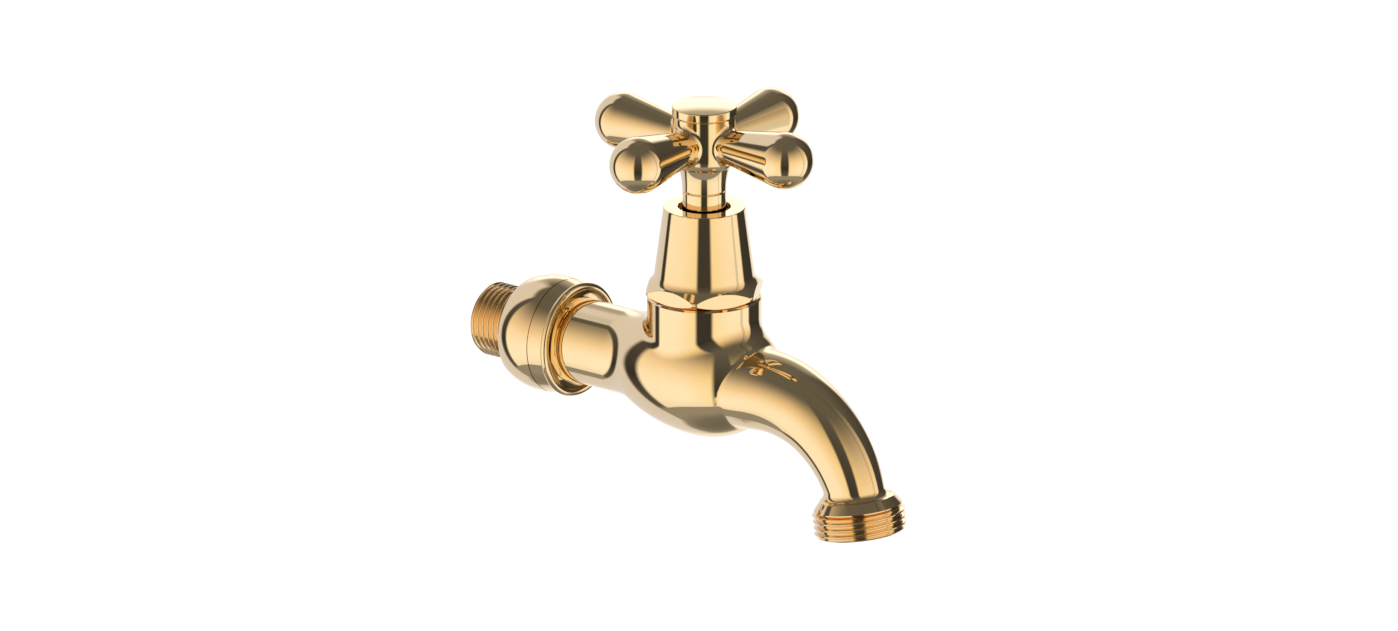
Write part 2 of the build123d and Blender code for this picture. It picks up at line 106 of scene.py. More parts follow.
valve_axis = axis_frame((0, -reach, 0), (0, 0, 1))
inlet_axis = axis_frame((0, 0, 0), (0, -1, 0))
outlet_axis = axis_frame(
    (0, -(reach + spout_straight + spout_bend * sin(bend)), spout_level - spout_bend * (1 - cos(bend))),
    (0, -cos(bend), -sin(bend)))


def shell(points, faces, sharp=None, normals=None):
    """A part of a mesh: its points, faces and one normal for each face corner."""
    mesh = bpy.data.meshes.new("shell")
    mesh.from_pydata([tuple(p) for p in points], [], [tuple(f) for f in faces])
    work = bmesh.new()
    work.from_mesh(mesh)
    bmesh.ops.remove_doubles(work, verts=work.verts, dist=1e-4)
    bmesh.ops.dissolve_degenerate(work, edges=work.edges, dist=1e-5)
    work.to_mesh(mesh)
    work.free()
    mesh.polygons.foreach_set("use_smooth", [True] * len(mesh.polygons))
    if sharp is not None:
        mesh.set_sharp_from_angle(angle=radians(sharp))
    where = np.empty(len(mesh.vertices) * 3)
    mesh.vertices.foreach_get("co", where)
    where = where.reshape(-1, 3)
    corners = [list(p.vertices) for p in mesh.polygons]
    if normals is None:
        out = np.array([tuple(n.vector) for n in mesh.corner_normals])
    else:
        at = normals(where)
        out = np.concatenate([at[c] for c in corners])
    bpy.data.meshes.remove(mesh)
    return where, corners, out


def piece(name, shells, body, nodes, material):
    """One object made of several shells, in metres, that rides a body and stands for CAD nodes."""
    points, faces, normals, base = [], [], [], 0
    for where, corners, out in shells:
        points.append(where)
        faces += [[base + i for i in c] for c in corners]
        normals.append(out)
        base += len(where)
    mesh = bpy.data.meshes.new(name)
    mesh.from_pydata([tuple(p) for p in np.concatenate(points) * MM], [], faces)
    mesh.polygons.foreach_set("use_smooth", [True] * len(mesh.polygons))
    mesh.normals_split_custom_set([tuple(n) for n in unit(np.concatenate(normals))])
    mesh.materials.append(material)
    made = bpy.data.objects.new(name, mesh)
    bpy.context.scene.collection.objects.link(made)
    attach(made, body)
    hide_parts(*nodes)
    return made


def lathe(profile, place, steps=256, sharp=25):
    """A turned shell from (radius, height) corners about a placing's z axis. It faces to the right
    of the way the profile runs. A radius may also be a function of the angle."""
    rows, points = [], []
    for radius, height in profile:
        if not callable(radius) and radius < 1e-6:
            rows.append([len(points)] * steps)
            points.append((0, 0, height))
            continue
        rows.append(list(range(len(points), len(points) + steps)))
        for i in range(steps):
            a = 2 * pi * i / steps
            r = radius(a) if callable(radius) else radius
            points.append((r * cos(a), r * sin(a), height))
    faces = []
    for low, high in zip(rows, rows[1:]):
        for i in range(steps):
            j = (i + 1) % steps
            face = []
            for corner in (low[i], low[j], high[j], high[i]):
                if corner not in face:
                    face.append(corner)
            if len(face) > 2:
                faces.append(face)
    points = np.array(points) @ place[:3, :3].T + place[:3, 3]
    return shell(points, faces, sharp)


def arc(centre, radius, start, end, steps=10):
    """Points on an arc in the (radius, height) plane, angles in degrees from the radius axis."""
    return [(centre[0] + radius * cos(radians(start + (end - start) * i / steps)),
             centre[1] + radius * sin(radians(start + (end - start) * i / steps)))
            for i in range(steps + 1)]


def arc_through(start, middle, end, steps=24):
    """Points on the arc through three (radius, height) points."""
    a, b, c = (np.array(v) for v in (start, middle, end))
    centre = np.linalg.solve([b - a, c - a], [(b @ b - a @ a) / 2, (c @ c - a @ a) / 2])
    first, last = (degrees(atan2(v[1] - centre[1], v[0] - centre[0])) for v in (a, c))
    return arc(centre, float(np.linalg.norm(a - centre)), first, last, steps)


def eased(profile, radii, steps=5):
    """A profile with the corners named in radii, {index: radius}, rounded."""
    done = []
    for i, here in enumerate(profile):
        size = radii.get(i)
        if not size:
            done.append(here)
            continue
        before, after = Vector(profile[i - 1]), Vector(profile[i + 1])
        corner = Vector(here)
        first, second = (before - corner).normalized(), (after - corner).normalized()
        half = first.angle(second) / 2
        reach_back = size / np.tan(half)
        middle = corner + (first + second).normalized() * (size / sin(half))
        a = corner + first * reach_back - middle
        b = corner + second * reach_back - middle
        for k in range(steps + 1):
            done.append(tuple(middle + a.slerp(b, k / steps)))
    return done


# Fields: a distance and its gradient at many points

def with_gradient(distance):
    """A field from a plain distance function, with its gradient by small steps."""
    def field(p):
        step = 1e-3
        slope = np.empty_like(p)
        for k in range(3):
            move = np.zeros(3)
            move[k] = step
            slope[:, k] = (distance(p + move) - distance(p - move)) / (2 * step)
        return distance(p), slope
    return field


def blended(first, second, radius):
    """Two fields joined, with a ball of this radius rolled along the corner between them."""
    def field(p):
        a, slope_a = first(p)
        b, slope_b = second(p)
        na, nb = unit(slope_a), unit(slope_b)
        c = np.clip((na * nb).sum(-1), -0.999, 0.985)
        da, db = a - radius, b - radius
        pull_a, pull_b = da - c * db, db - c * da
        rolled = (pull_a < 0) & (pull_b < 0) & (a > -radius) & (b > -radius)
        away = np.sqrt(np.maximum((da * da + db * db - 2 * c * da * db) / (1 - c * c), 1e-12))
        value = np.where(rolled, radius - away, np.minimum(a, b))
        plain = np.where((a < b)[:, None], na, nb)
        turn = -(pull_a[:, None] * na + pull_b[:, None] * nb)
        return value, np.where(rolled[:, None], unit(turn), plain)
    return field


def cut_round(first, second, radius):
    """What two fields share, with the outer edge between them rounded."""
    def turned_out(one):
        def field(p):
            value, slope = one(p)
            return -value, -slope
        return field
    return turned_out(blended(turned_out(first), turned_out(second), radius))


def mesh_of(field, low, high, step, cuts, kept):
    """The shell where a field is zero: surface nets on a grid, then moved onto the exact surface.
    It is split along the cuts, which are (point, direction) planes, and the faces that are
    kept are those whose middles pass."""
    lines = [np.arange(a, b + step, step) for a, b in zip(low, high)]
    grid = np.stack(np.meshgrid(*lines, indexing="ij"), -1)
    shape = grid.shape[:3]
    value = np.concatenate(
        [field(part)[0] for part in np.array_split(grid.reshape(-1, 3), 8)]).reshape(shape)
    inside = value < 0
    total = np.zeros([n - 1 for n in shape] + [3])
    count = np.zeros([n - 1 for n in shape])
    crossings = []
    for k in range(3):
        lead = [slice(None)] * 3
        tail = [slice(None)] * 3
        lead[k], tail[k] = slice(0, -1), slice(1, None)
        a, b = value[tuple(lead)], value[tuple(tail)]
        cross = inside[tuple(lead)] != inside[tuple(tail)]
        share = np.where(cross, a / np.where(a == b, 1, a - b), 0)[..., None]
        spot = grid[tuple(lead)] * (1 - share) + grid[tuple(tail)] * share
        crossings.append(cross)
        others = [m for m in range(3) if m != k]
        for i in (0, 1):
            for j in (0, 1):
                part = [slice(None)] * 3
                part[others[0]] = slice(i, shape[others[0]] - 1 + i)
                part[others[1]] = slice(j, shape[others[1]] - 1 + j)
                hit = cross[tuple(part)]
                total += spot[tuple(part)] * hit[..., None]
                count += hit
    used = count > 0
    index = np.full(used.shape, -1)
    index[used] = np.arange(used.sum())
    points = total[used] / count[used][:, None]
    faces = []
    for k in range(3):
        u, v = [(1, 2), (2, 0), (0, 1)][k]
        at = np.argwhere(crossings[k])
        at = at[(at[:, u] > 0) & (at[:, v] > 0) & (at[:, u] < shape[u] - 1) & (at[:, v] < shape[v] - 1)]
        corner = []
        for du, dv in ((-1, -1), (0, -1), (0, 0), (-1, 0)):
            cell = at.copy()
            cell[:, u] += du
            cell[:, v] += dv
            corner.append(index[cell[:, 0], cell[:, 1], cell[:, 2]])
        quads = np.stack(corner, 1)
        leaving = inside[at[:, 0], at[:, 1], at[:, 2]]
        quads[~leaving] = quads[~leaving][:, ::-1]
        faces.append(quads)
    faces = np.concatenate(faces)
    points = settled(field, points)
    mesh = bmesh.new()
    made = [mesh.verts.new(p) for p in points]
    for quad in faces:
        mesh.faces.new([made[i] for i in quad])
    for where, way in cuts:
        bmesh.ops.bisect_plane(
            mesh, geom=mesh.verts[:] + mesh.edges[:] + mesh.faces[:], dist=1e-4,
            plane_co=where, plane_no=way)
    middles = np.array([tuple(f.calc_center_median()) for f in mesh.faces])
    past = [f for f, stays in zip(mesh.faces[:], kept(middles)) if not stays]
    bmesh.ops.delete(mesh, geom=past, context="FACES")
    bmesh.ops.delete(mesh, geom=[v for v in mesh.verts if not v.link_faces], context="VERTS")
    mesh.verts.index_update()
    points = np.array([tuple(v.co) for v in mesh.verts])
    faces = [[v.index for v in f.verts] for f in mesh.faces]
    mesh.free()
    return shell(points, faces, normals=lambda at: unit(field(at)[1]))


def settled(field, points):
    """Points moved along the field's gradient until they lie on its surface."""
    for _ in range(8):
        value, slope = field(points)
        points = points - slope * np.clip(value, -0.3, 0.3)[:, None] / np.maximum(
            (slope * slope).sum(-1), 1e-6)[:, None]
    return points


# The body casting

def trunk(p):
    """The pipe, its flare, and the globe's long back and nose, all turned about the inlet axis."""
    out, away = -p[:, 1], np.hypot(p[:, 0], p[:, 2])
    hollow = pipe_blend - np.hypot(out - swell, away - pipe_radius - pipe_blend)
    bowed = np.hypot(out - widest, away - globe_radius + globe_crown) - globe_crown
    far = np.hypot((out - widest) / globe_nose, away / globe_radius)
    steep = np.hypot((out - widest) / globe_nose ** 2, away / globe_radius ** 2)
    nose = far * (far - 1) / np.maximum(steep, 1e-9)
    past = (out - join) * cos(flare_lean) + (away - join_radius) * sin(flare_lean)
    back = np.where(out < swell, away - pipe_radius, np.where(past < 0, hollow, bowed))
    return np.where(out < widest, back, nose)


def neck(p):
    # Below the inlet axis it draws in, so that it leaves the globe's lower half alone.
    return np.hypot(p[:, 0], p[:, 1] + reach) - neck_radius + np.maximum(-p[:, 2], 0)


def spout(p):
    out, height = -p[:, 1], p[:, 2]
    centre_out, centre_height = reach + spout_straight, spout_level - spout_bend
    around = np.arctan2(out - centre_out, height - centre_height)
    turned = np.clip(around, 0, bend)
    on_out = centre_out + spout_bend * np.sin(turned)
    on_height = centre_height + spout_bend * np.cos(turned)
    # Straight before the bend, and straight on along the outlet axis after it.
    before = np.minimum(out - centre_out, 0)
    lead = np.where((around < 0) | (out < centre_out), np.maximum(before, -spout_straight), 0)
    on_out = np.where(lead < 0, centre_out + lead, on_out)
    on_height = np.where(lead < 0, spout_level, on_height)
    past = (out - on_out) * cos(bend) + (on_height - height) * sin(bend)
    past = np.where((around > bend) & (lead == 0), np.maximum(past, 0), 0)
    on_out = on_out + past * cos(bend)
    on_height = on_height - past * sin(bend)
    taper = (spout_root - spout_tip) / (bend * spout_bend)
    along = lead + turned * spout_bend * (lead == 0)
    radius = spout_root - taper * along
    # Where it leaves the globe it is wider than it is tall.
    share = np.clip((along + 3) / spout_oval_length, 0, 1)
    wide = 1 + spout_oval * (1 - share * share * (3 - 2 * share))
    return np.sqrt((p[:, 0] / wide) ** 2 + (out - on_out) ** 2 + (height - on_height) ** 2) - radius


def along_outlet(p):
    """Distance past the bend's end, and from the outlet axis."""
    local = (p - outlet_axis[:3, 3]) @ outlet_axis[:3, :3]
    return local[:, 2], np.hypot(local[:, 0], local[:, 1])


def collar_bevel(p):
    along, away = along_outlet(p)
    lean = atan((collar_low - collar_top) / collar_height)
    return (away - collar_top) * cos(lean) - (along - collar_start) * sin(lean)


def collar_face(p):
    return collar_start - along_outlet(p)[0]


body = blended(with_gradient(trunk), with_gradient(neck), neck_blend)
body = blended(body, with_gradient(spout), spout_blend)
collar = blended(
    with_gradient(spout),
    cut_round(with_gradient(collar_bevel), with_gradient(collar_face), collar_edge), collar_blend)


def on_outlet(along):
    return tuple(outlet_axis[:3, 3] + outlet_axis[:3, 2] * along)


def thread_shell(place, crest, start, end, first, lead_in, lead_out, around=240):
    """A right-hand thread with rounded crests and roots. Its rows follow the winding groove, whose
    middle leaves from first, and its ends are cut level."""
    rise = thread_depth * np.tan(thread_flank)
    root = thread_pitch - thread_flat - 2 * rise
    # One turn's outline: the way along from the groove's middle, and the depth below the crest.
    corners = [(0, 1), (root / 2, 1), (root / 2 + rise, 0), (root / 2 + rise + thread_flat, 0),
               (thread_pitch - root / 2, 1)]
    fine = np.linspace(0, thread_pitch, 400, endpoint=False)
    depth = np.interp(fine, [c[0] for c in corners], [c[1] for c in corners])
    width = 33
    window = np.hanning(width) / np.hanning(width).sum()
    depth = np.convolve(np.concatenate([depth[-width:], depth, depth[:width]]), window, "same")[width:-width]
    share = (0, 0.06, 0.1, 0.15, 0.2, 0.26, 0.32, 0.36, 0.4, 0.45, 0.5, 0.55, 0.6, 0.64, 0.68, 0.74, 0.8,
             0.85, 0.9, 0.94)

    def radius_at(height, offset):
        down = np.interp(offset % thread_pitch, np.append(fine, thread_pitch), np.append(depth, depth[0]))
        r = crest - thread_depth * down
        r = min(r, crest - relief_depth + (height - start) * relief_depth / lead_in)
        return min(r, crest - lead_out + (end - height))

    below = int((first - start) / thread_pitch) + 2
    turns = int((end - start) / thread_pitch) + 4
    levels = [thread_pitch * (k - below + part) for k in range(turns) for part in share]
    points, faces = [], []
    for j in range(around):
        a = 2 * pi * j / around
        middle = first + thread_pitch * j / around
        for level in levels:
            height = min(max(middle + level, start), end)
            r = radius_at(height, height - middle)
            points.append((r * cos(a), r * sin(a), height))
    tall = len(levels)
    for j in range(around):
        k = (j + 1) % around
        # The rows meet the first column's one turn further up.
        step = len(share) if k == 0 else 0
        for i in range(tall - 1 - step):
            faces.append((j * tall + i, k * tall + i + step, k * tall + i + 1 + step, j * tall + i + 1))
    points = np.array(points) @ place[:3, :3].T + place[:3, 3]
    return shell(points, faces, 60)


# Materials

class Nodes:
    """A short way to write a node tree: add() makes a node, sets inputs and links sockets."""

    def __init__(self, tree):
        self.tree = tree
        tree.nodes.clear()

    def add(self, kind, inputs=None, **settings):
        node = self.tree.nodes.new(kind)
        for name, value in settings.items():
            setattr(node, name, value)
        for name, value in (inputs or {}).items():
            socket = node.inputs[name]
            if isinstance(value, bpy.types.NodeSocket):
                self.tree.links.new(value, socket)
            else:
                socket.default_value = value
        return node

    def math(self, operation, first, second=0.0, third=0.0):
        return self.add("ShaderNodeMath", {0: first, 1: second, 2: third}, operation=operation).outputs[0]

    def ramp(self, value, low, high, bottom=0.0, top=1.0, smooth=True):
        return self.add(
            "ShaderNodeMapRange", {0: value, 1: low, 2: high, 3: bottom, 4: top},
            interpolation_type="SMOOTHSTEP" if smooth else "LINEAR").outputs[0]

    def blend(self, share, first, second):
        made = self.add("ShaderNodeMix", data_type="RGBA")
        for socket, value in ((made.inputs[0], share), (made.inputs[6], first), (made.inputs[7], second)):
            if isinstance(value, bpy.types.NodeSocket):
                self.tree.links.new(value, socket)
            else:
                socket.default_value = value
        return made.outputs[2]


def noise(n, where, scale, detail=3.0, roughness=0.5):
    return n.add("ShaderNodeTexNoise", {
        "Vector": where, "Scale": scale, "Detail": detail, "Roughness": roughness}).outputs["Fac"]


def metal(name, light, dark, rough, uneven, cloud=60.0, grain=900.0, bump=3e-6, bump_scale=70.0,
          turned=None):
    """A metal whose colour, gloss and surface vary a little, as polish and plating do."""
    material = bpy.data.materials.new(name)
    material.use_nodes = True
    n = Nodes(material.node_tree)
    where = n.add("ShaderNodeTexCoord").outputs["Object"]
    tint = n.ramp(noise(n, where, cloud), 0.35, 0.65)
    colour = n.blend(tint, (*light, 1), (*dark, 1))
    gloss = n.ramp(noise(n, where, grain, 4.0), 0.3, 0.7, rough, rough + uneven)
    height = noise(n, where, bump_scale, 2.0)
    if turned:
        # Fine lathe rings about the valve axis, close together along z.
        split = n.add("ShaderNodeSeparateXYZ", {0: where})
        rings = n.add("ShaderNodeTexNoise", {"Scale": turned, "Detail": 2.0}, noise_dimensions="1D")
        n.tree.links.new(split.outputs["Z"], rings.inputs["W"])
        height = n.math("ADD", height, rings.outputs["Fac"])
    rise = n.add("ShaderNodeBump", {"Strength": 1.0, "Distance": bump, "Height": height})
    surface = n.add("ShaderNodeBsdfPrincipled", {
        "Base Color": colour, "Metallic": 1.0, "Roughness": gloss, "Normal": rise.outputs[0]})
    n.add("ShaderNodeOutputMaterial", {"Surface": surface.outputs[0]})
    return material


def soft(name, light, dark, rough, cloud=400.0, bump=2e-5):
    """A dull material, such as rubber, fibre or packing, with a speckle and a fine grain."""
    material = bpy.data.materials.new(name)
    material.use_nodes = True
    n = Nodes(material.node_tree)
    where = n.add("ShaderNodeTexCoord").outputs["Object"]
    speck = n.ramp(noise(n, where, cloud, 5.0, 0.6), 0.4, 0.62)
    grain = noise(n, where, cloud * 4, 4.0, 0.6)
    gloss = n.ramp(grain, 0.3, 0.7, rough - 0.06, rough + 0.06)
    rise = n.add("ShaderNodeBump", {"Strength": 0.6, "Distance": bump, "Height": grain})
    surface = n.add("ShaderNodeBsdfPrincipled", {
        "Base Color": n.blend(speck, (*light, 1), (*dark, 1)), "Roughness": gloss,
        "Normal": rise.outputs[0]})
    n.add("ShaderNodeOutputMaterial", {"Surface": surface.outputs[0]})
    return material


gold = metal("polished_gold", (0.91, 0.695, 0.40), (0.89, 0.672, 0.38), 0.03, 0.025)
thread_gold = metal("cut_gold", (0.90, 0.655, 0.365), (0.875, 0.625, 0.335), 0.08, 0.06, bump=8e-6,
                    bump_scale=400.0)
raw_brass = metal("turned_brass", (0.78, 0.60, 0.32), (0.70, 0.52, 0.27), 0.18, 0.14, bump=1.2e-5,
                  bump_scale=300.0, turned=4000.0)
steel = metal("plain_steel", (0.66, 0.66, 0.65), (0.58, 0.58, 0.575), 0.20, 0.12, bump=8e-6,
              bump_scale=500.0, turned=6000.0)
rubber = soft("black_rubber", (0.035, 0.035, 0.036), (0.02, 0.02, 0.021), 0.62)
fibre = soft("red_fibre", (0.24, 0.045, 0.02), (0.15, 0.03, 0.016), 0.7)
packing = soft("white_packing", (0.80, 0.79, 0.75), (0.70, 0.69, 0.64), 0.45)

hidden = {
    "valve_seat": steel, "headgear_body": raw_brass, "headgear_washer": fibre,
    "gland_packing": packing, "gland_washer": raw_brass, "gland_nut": raw_brass,
    "jumper_valve": raw_brass, "jumper_washer": rubber, "jumper_nut": raw_brass,
    "spindle": raw_brass, "spindle_o_ring": rubber, "spindle_clip": steel,
    "handle_washer": steel, "handle_screw": steel}
for node, material in hidden.items():
    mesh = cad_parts[node].data
    mesh.materials.clear()
    mesh.materials.append(material)


# Body pieces

neck_cut, pipe_cut, collar_join, bevel_cut = 21.6, 13.0, -9.0, -3.0
casting = mesh_of(
    body, (-19.5, -131, -35.5), (19.5, -pipe_cut + 1.5, neck_cut + 1.5), 0.8,
    [((0, 0, neck_cut), (0, 0, 1)), ((0, -pipe_cut, 0), (0, 1, 0)),
     (on_outlet(collar_join), tuple(outlet_axis[:3, 2]))],
    lambda p: (p[:, 2] < neck_cut) & (p[:, 1] < -pipe_cut) & (along_outlet(p)[0] < collar_join))
spout_end = mesh_of(
    collar, (-13.5, -136, -40), (13.5, -104, -14), 0.35,
    [(on_outlet(collar_join), tuple(outlet_axis[:3, 2])), (on_outlet(bevel_cut), tuple(outlet_axis[:3, 2]))],
    lambda p: (along_outlet(p)[0] > collar_join) & (along_outlet(p)[0] < bevel_cut))

chamber_thread, chamber, chamber_floor, thread_floor = 10.53, 10.0, -2.5, 11.8
neck_rim = lathe(
    [(neck_radius, neck_cut), (neck_radius, neck_top - neck_edge), (neck_radius - neck_edge, neck_top),
     (chamber_thread, neck_top), (chamber_thread, thread_floor), (chamber, thread_floor),
     (chamber, chamber_floor), (0, chamber_floor)], valve_axis)

slope = (collar_low - collar_top) / collar_height
relief_radius, relief_end = outlet_thread - relief_depth, thread_start + outlet_relief
collar_foot = lathe(
    [(collar_top + slope * (bevel_cut - collar_start), bevel_cut), (collar_low - 0.1, thread_start - 0.13),
     (collar_low, thread_start), (relief_radius, thread_start + 0.03), (relief_radius, relief_end)],
    outlet_axis)
outlet_screw = thread_shell(outlet_axis, outlet_thread, relief_end, outlet_end,
                            thread_start + outlet_groove, thread_lead, outlet_chamfer)
spout_bore = spout_tip - spout_wall
mouth_floor = outlet_end - outlet_bore_depth
outlet_mouth = lathe(
    [(outlet_thread - outlet_chamfer, outlet_end), (outlet_bore + 0.3, outlet_end),
     (outlet_bore, outlet_end - 0.3), (outlet_bore, mouth_floor), (spout_bore, mouth_floor),
     (spout_bore, 0)], outlet_axis)


def waterway_shell():
    """The spout's curved bore, from the outlet's end of the bend back towards the globe."""
    rings, around = 24, 96
    points, faces = [], []
    for i in range(rings + 1):
        turned = bend * (1 - i / rings)
        radius = spout_bore + (spout_root - spout_tip) * i / rings
        out = reach + spout_straight + spout_bend * sin(turned)
        height = spout_level - spout_bend * (1 - cos(turned))
        for j in range(around):
            a = 2 * pi * j / around
            points.append((radius * cos(a), -out - radius * sin(a) * sin(turned),
                           height + radius * sin(a) * cos(turned)))
    for i in range(rings):
        for j in range(around):
            k = (j + 1) % around
            faces.append((i * around + j, i * around + k, (i + 1) * around + k, (i + 1) * around + j))
    faces.append(tuple(rings * around + j for j in range(around)))
    return shell(points, faces, 30)


relief_start = pipe_back - relief_length
pipe_end = lathe(
    [(0, inlet_bore_end), (inlet_bore, inlet_bore_end), (inlet_bore, -inlet_tail + 0.5),
     (inlet_bore + 0.5, -inlet_tail), (inlet_thread - 1.0, -inlet_tail)], inlet_axis)
inlet_root = inlet_thread - thread_depth
inlet_screw = thread_shell(axis_frame((0, 0, 0), (0, 1, 0)), inlet_thread, -relief_start, inlet_tail,
                           -relief_start, 0.6, 1.0, 160)
pipe_shoulder = lathe(
    [(inlet_thread - relief_depth, relief_start), (inlet_root, relief_start + 0.1),
     (inlet_root, pipe_back), (pipe_radius, pipe_back), (pipe_radius, pipe_cut)], inlet_axis)
waterway = waterway_shell()


piece("casting", [casting, spout_end, neck_rim, pipe_shoulder, pipe_end], "tap", ["tap_body"], gold)
piece("outlet_nose", [collar_foot, outlet_mouth, waterway], "tap", ["tap_body"], gold)
piece("outlet_thread_ridges", [outlet_screw], "tap", ["tap_body"], thread_gold)
piece("inlet_thread_ridges", [inlet_screw], "tap", ["tap_body"], thread_gold)

# Flange

cup_back, cup_front, cup_bow, cup_wall, cup_web = 14.5, 16.4, 1.05, 1.5, 2.4
ring_front, ring_end, lip_circle, lip_radius, dish_depth = 17.9, 15.5, 15.4, 1.1, 0.7
web_bore, ring_bore = inlet_thread + 0.05, pipe_radius + 0.1
seam, seam_depth = 0.12, 0.7
side = arc_through((cup_back, 0), ((cup_back + cup_front) / 2 + cup_bow, pipe_back / 2),
                   (cup_front, pipe_back))
seam_radius = float(np.interp(pipe_back - seam, [h for _, h in side], [r for r, _ in side]))
cup = lathe(
    [(web_bore, pipe_back - cup_web), (cup_front - cup_wall, pipe_back - cup_web),
     (cup_back - cup_wall, 0), (cup_back - 0.4, 0), (cup_back - 0.12, 0.08), (cup_back + 0.1, 0.32)]
    + side[1:-1] + [(seam_radius, pipe_back - seam), (seam_radius - seam_depth, pipe_back - seam),
                    (seam_radius - seam_depth, pipe_back), (web_bore, pipe_back),
                    (web_bore, pipe_back - cup_web)], inlet_axis)
lip_back = ring_front - sqrt(lip_radius ** 2 - (ring_end - lip_circle) ** 2)
dish_foot, dish_edge = (ring_bore, ring_front - dish_depth), (lip_circle - lip_radius, ring_front)
chord = Vector(dish_edge) - Vector(dish_foot)
bulge = chord.length_squared / (2 * chord.y)
dish = [(dish_foot[0] + bulge * sin(t), dish_foot[1] + bulge * (1 - cos(t)))
        for t in np.linspace(0, 2 * atan2(chord.y, chord.x), 17)]
lip_end = degrees(atan2(lip_back - ring_front, ring_end - lip_circle))
ring = lathe(
    [(ring_bore, pipe_back), (cup_front - seam_depth, pipe_back),
     (cup_front - seam_depth, pipe_back + seam), (cup_front - 0.02, pipe_back + seam)]
    + arc((lip_circle, ring_front), lip_radius, lip_end, 180, 28) + dish[::-1][1:]
    + [(ring_bore, pipe_back)], inlet_axis)
piece("flange_cup_cover", [cup], "tap", ["flange_cup"], gold)
piece("flange_ring_cover", [ring], "tap", ["flange_ring"], gold)

# Bonnet cover

cover_top, cone_radius, cone_height = 11.65, 14.25, 29.5
skirt_radius, skirt_height, bevel_height, foot_radius, flats = 17.2, 24.7, 27.45, 15.1, 31.0
cover_edge, cover_hole = 0.5, 7.5
cover_roof, cavity_radius, cavity_low = 2.0, 9.7, 40.2
barrel_bore, shoulder_height, upper_bore, foot_bore = 9.25, 34.5, 12.0, 12.65


def cover_outline():
    """The bonnet's turned profile from its foot up to its flat top, as (radius, height)."""
    lean = (cone_radius - cover_top) / (bonnet_top - cone_height)
    top = Vector((cone_radius, cone_height))
    down = Vector((lean, -1)).normalized()
    across = Vector((-down.y, down.x))
    chord = Vector((foot_radius, bevel_height)) - top
    bow = chord.length_squared / (2 * chord.dot(across))
    sweep = 2 * atan2(chord.dot(across), chord.dot(down))
    collar = eased([(foot_radius, neck_top), (skirt_radius, skirt_height), (foot_radius, bevel_height)],
                   {1: cover_edge}, 10)
    cove = [tuple(top + across * bow * (1 - cos(t)) + down * bow * sin(t))
            for t in np.linspace(sweep, 0, 25)]
    return collar[:-1] + cove + [(cover_top + lean * 0.25, bonnet_top - 0.25), (cover_top - 0.12, bonnet_top)]


def cover_shell():
    """The cover's outside with its six flats: every column has a row on the flat's edge."""
    outline = cover_outline()
    heights = np.array([z for _, z in outline])
    radii = np.array([r for r, _ in outline])
    per_side, flat_rows = 48, 24
    near = np.linspace(0, 1, 14, endpoint=False) ** 2
    upper = heights[heights > bevel_height - 1e-6]
    widest_at = heights[np.argmax(radii)]
    fine = np.linspace(heights[0], heights[-1], 8000)
    fine_radius = np.interp(fine, heights, radii)
    apothem = flats / 2
    columns = []
    for k in range(6 * per_side):
        angle = 2 * pi * k / (6 * per_side)
        off = angle % (pi / 3)
        limit = apothem / cos(min(off, pi / 3 - off))
        over = fine[fine_radius > limit]
        # Between these heights the flat cuts the turned shape.
        low, high = (over.min(), over.max()) if len(over) else (widest_at, widest_at)
        rows = list(low - (low - neck_top) * np.append(1, near[:0:-1]))
        rows += list(np.linspace(low, high, flat_rows, endpoint=False))
        rows += list(high + (bevel_height - high) * near) + list(upper)
        columns.append([(min(np.interp(z, heights, radii), limit), angle, z) for z in rows])
    tall = len(columns[0])
    points = [(r * cos(a), r * sin(a), z) for column in columns for r, a, z in column]
    faces = []
    for k in range(len(columns)):
        j = (k + 1) % len(columns)
        for i in range(tall - 1):
            faces.append((k * tall + i, j * tall + i, j * tall + i + 1, k * tall + i + 1))
    return shell(np.array(points) @ valve_axis[:3, :3].T + valve_axis[:3, 3], faces, 14)


cover_side = cover_shell()
cover_inside = lathe(
    [(cover_top - 0.12, bonnet_top), (cover_hole + 0.15, bonnet_top), (cover_hole, bonnet_top - 0.15),
     (cover_hole, bonnet_top - cover_roof), (cavity_radius, bonnet_top - cover_roof),
     (cavity_radius, cavity_low), (barrel_bore, cavity_low), (barrel_bore, shoulder_height),
     (upper_bore, shoulder_height), (foot_bore, cone_height), (foot_bore, neck_top),
     (foot_radius, neck_top)], valve_axis, 288)
piece("bonnet_bell", [cover_side, cover_inside], "tap", ["bonnet_cover"], gold)

# Handle

stem_bore, sleeve_radius, sleeve_low = 4.1, 6.24, 44.1
sleeve = lathe(
    [(stem_bore, sleeve_low), (sleeve_radius - 0.12, sleeve_low), (sleeve_radius, sleeve_low + 0.12),
     (sleeve_radius, sleeve_top - 0.1), (sleeve_radius - 0.1, sleeve_top),
     (stem_bore, sleeve_top), (stem_bore, sleeve_low)], valve_axis)
skirt_low, skirt_top, groove, groove_depth = 6.3, 7.6, 0.5, 0.7
foot = sleeve_top + groove
bow = ((skirt_top - skirt_low) ** 2 + (hub_foot - foot) ** 2) / (2 * (skirt_top - skirt_low))
sweep = degrees(2 * atan2(skirt_top - skirt_low, hub_foot - foot))
skirt_side = arc((skirt_low + bow, foot), bow, 180, 180 - sweep, 20)
skirt = lathe(
    [(stem_bore, sleeve_top), (skirt_low - groove_depth, sleeve_top), (skirt_low - groove_depth, foot),
     (skirt_low - 0.08, foot), (skirt_low, foot + 0.08)]
    + skirt_side[1:] + [(stem_bore, hub_foot), (stem_bore, sleeve_top)], valve_axis)

